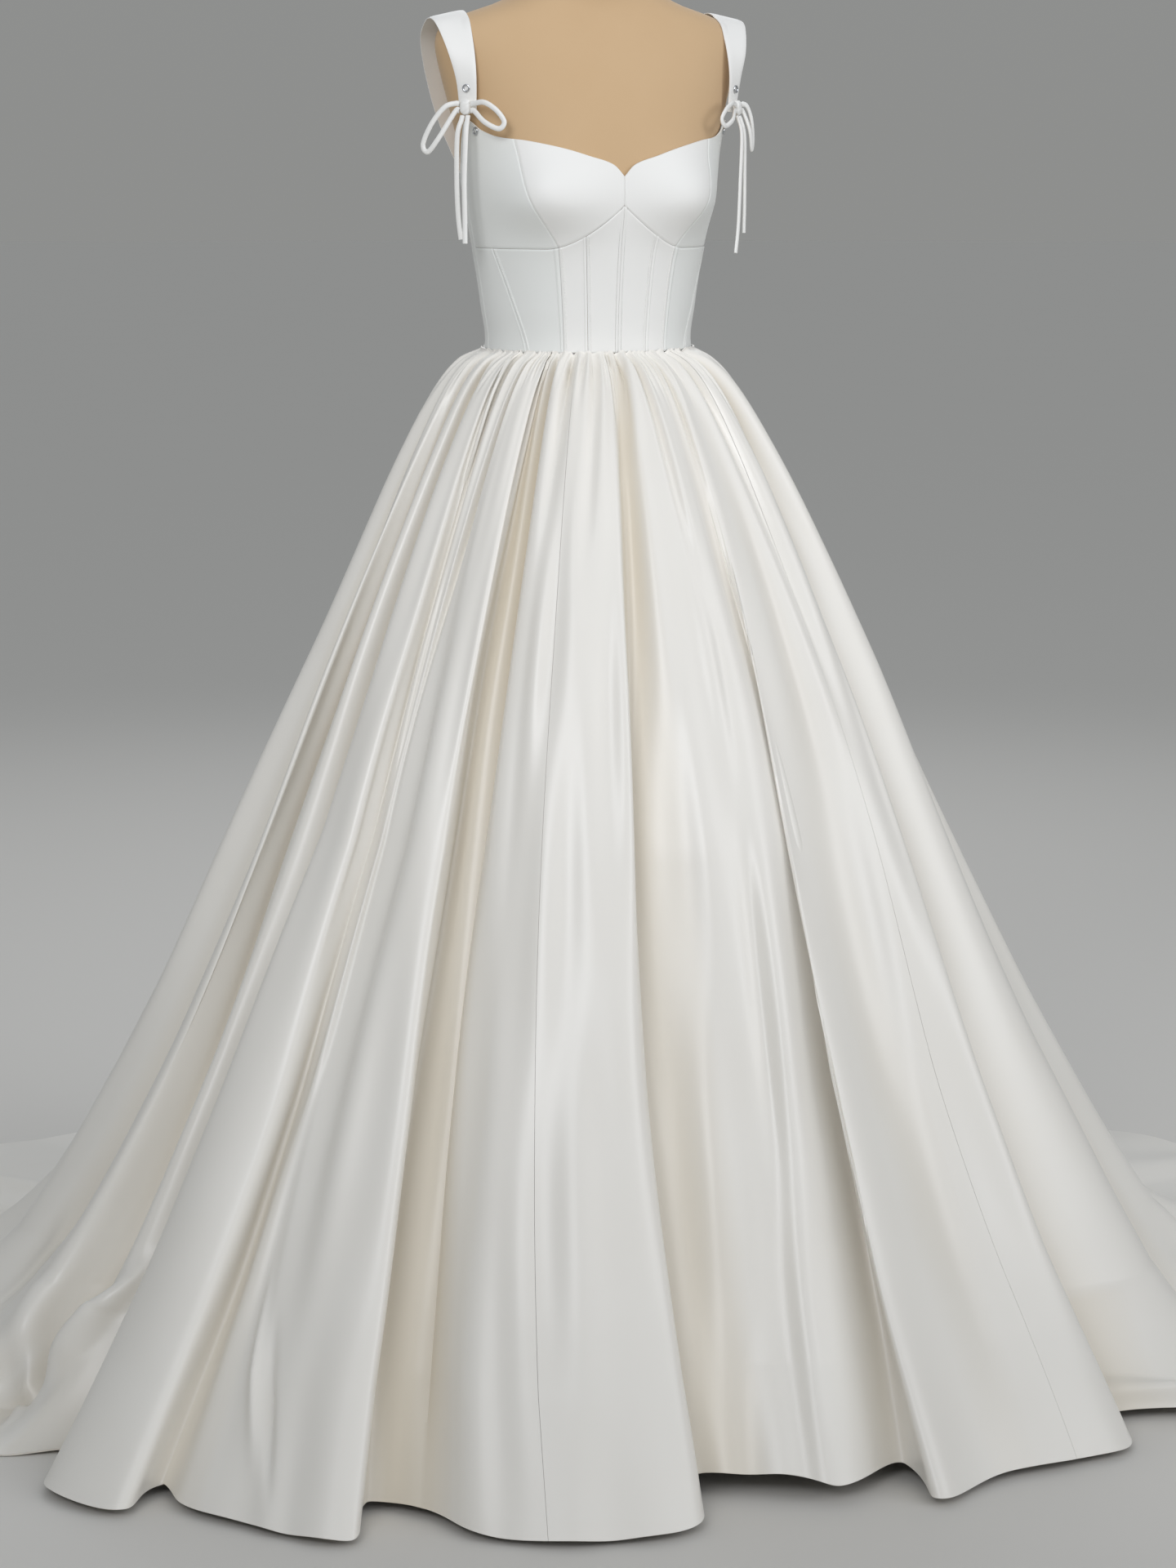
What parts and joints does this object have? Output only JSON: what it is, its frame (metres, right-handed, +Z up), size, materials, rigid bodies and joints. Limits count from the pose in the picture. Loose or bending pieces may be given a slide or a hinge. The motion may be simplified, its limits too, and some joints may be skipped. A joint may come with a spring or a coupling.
{
  "type": "wedding dress on a dress form",
  "caption": "Satin ball gown with a sweetheart corset bodice, straps tied with bows, a gathered full skirt and a spread sweep train, standing on a limbless dress form.",
  "frame": {"origin": "on the floor, at the middle of the stand base's underside, under the middle of the waist", "axes": "+Z up; the front of the bodice faces -Y; +X is the wearer's left"},
  "size_m": [2.0568, 1.64, 1.5463],
  "materials": {
    "bodice_satin": "heavy matt duchess satin, cool white",
    "tie_satin": "narrow turned satin tubes, soft sheen",
    "skirt_satin": "ivory duchess satin with a broad soft sheen",
    "eyelet_metal": "polished silver-coloured eyelets",
    "form_cloth": "smooth matt tan jersey cover",
    "stand_metal": null
  },
  "bodies": {
    "root": {"cup_inner_left": "bodice_satin", "cup_inner_right": "bodice_satin", "cup_outer_left": "bodice_satin", "cup_outer_right": "bodice_satin", "corset_centre_left": "bodice_satin", "corset_centre_right": "bodice_satin", "corset_front_left": "bodice_satin", "corset_front_right": "bodice_satin", "corset_side_front_left": "bodice_satin", "corset_side_front_right": "bodice_satin", "corset_side_left": "bodice_satin", "corset_side_right": "bodice_satin", "back_side_left": "bodice_satin", "back_side_right": "bodice_satin", "back_centre_left": "bodice_satin", "back_centre_right": "bodice_satin", "strap_left": "bodice_satin", "strap_right": "bodice_satin", "tie_knot_left": "tie_satin", "tie_knot_right": "tie_satin", "tie_loop_front_left": "tie_satin", "tie_loop_front_right": "tie_satin", "tie_loop_side_left": "tie_satin", "tie_loop_side_right": "tie_satin", "tie_tail_short_left": "tie_satin", "tie_tail_short_right": "tie_satin", "tie_tail_long_left": "tie_satin", "tie_tail_long_right": "tie_satin", "eyelet_strap_left": "eyelet_metal", "eyelet_strap_right": "eyelet_metal", "eyelet_bodice_left": "eyelet_metal", "eyelet_bodice_right": "eyelet_metal", "skirt_front": "skirt_satin", "skirt_side_left": "skirt_satin", "skirt_back_left": "skirt_satin", "skirt_back_right": "skirt_satin", "skirt_side_right": "skirt_satin", "skirt_front_right": "skirt_satin", "form_torso": "form_cloth", "form_neck_cap": "stand_metal", "stand_pole": "stand_metal", "stand_base": "stand_metal"}
  },
  "joints": []
}
